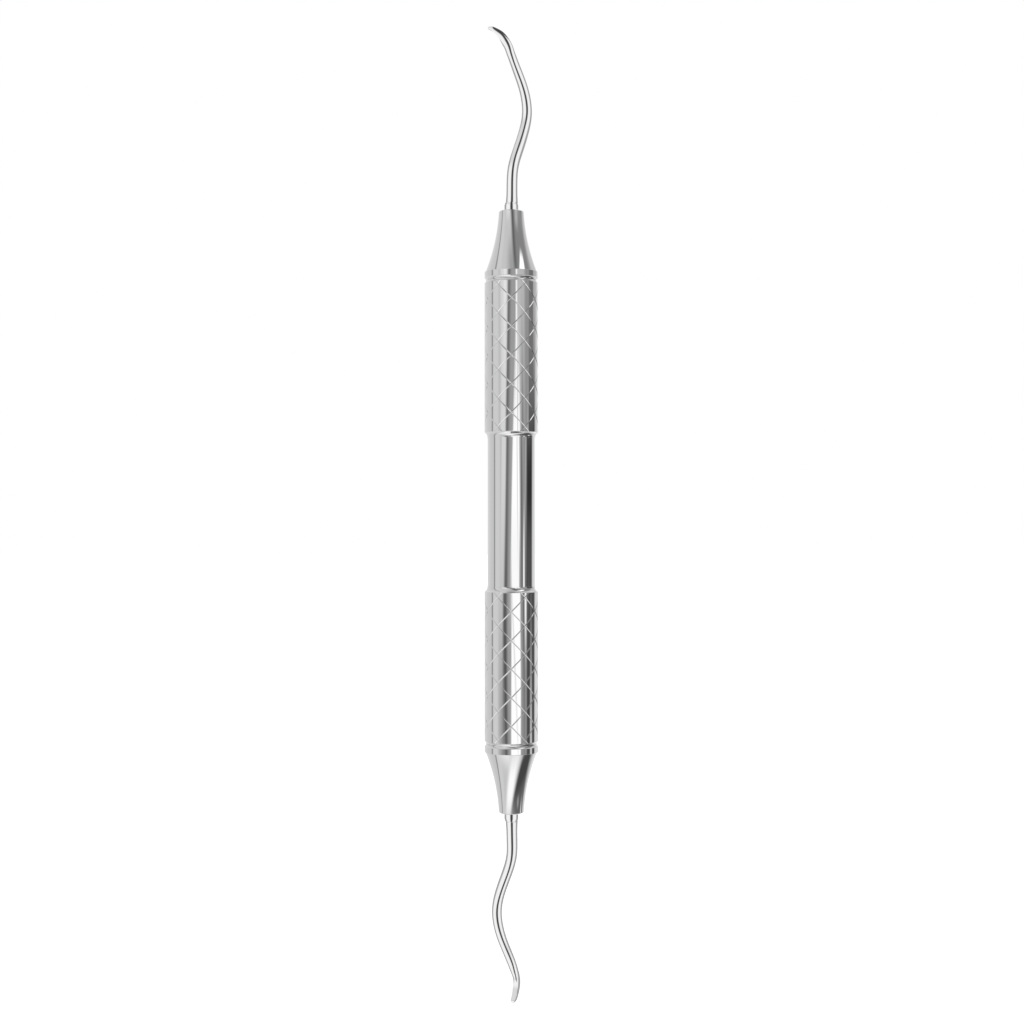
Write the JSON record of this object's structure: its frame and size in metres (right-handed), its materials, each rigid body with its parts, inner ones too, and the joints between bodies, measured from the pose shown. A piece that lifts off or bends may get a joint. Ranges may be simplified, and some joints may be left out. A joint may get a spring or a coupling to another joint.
{
  "type": "hand scaler",
  "caption": "Double-ended stainless steel dental hand scaler: hollow handle, knurled grips, flared nose cones and a mirrored pair of curved shanks with blades.",
  "frame": {"origin": "middle of the handle, on its axis", "axes": "+Z along the handle towards the upper working end, -Y towards the viewer, +X to the viewer's right"},
  "size_m": [0.0094, 0.0094, 0.1722],
  "materials": {
    "tube_steel": "polished, fine lathe lines around the tube",
    "grip_steel": "polished, with cut diamond knurl",
    "cone_steel": "turned and polished",
    "blade_steel": "hand polished, blade face ground",
    "pin_steel": "ground",
    "seal_rubber": "matt black"
  },
  "bodies": {
    "root": {"core_tube": "tube_steel", "grip_sleeve_upper": "grip_steel", "grip_sleeve_lower": "grip_steel", "nose_cone_upper": "cone_steel", "nose_cone_lower": "cone_steel", "working_end_upper": "blade_steel", "working_end_lower": "blade_steel", "tang_pin_upper": "pin_steel", "tang_pin_lower": "pin_steel", "seal_ring_upper": "seal_rubber", "seal_ring_lower": "seal_rubber"}
  },
  "joints": []
}
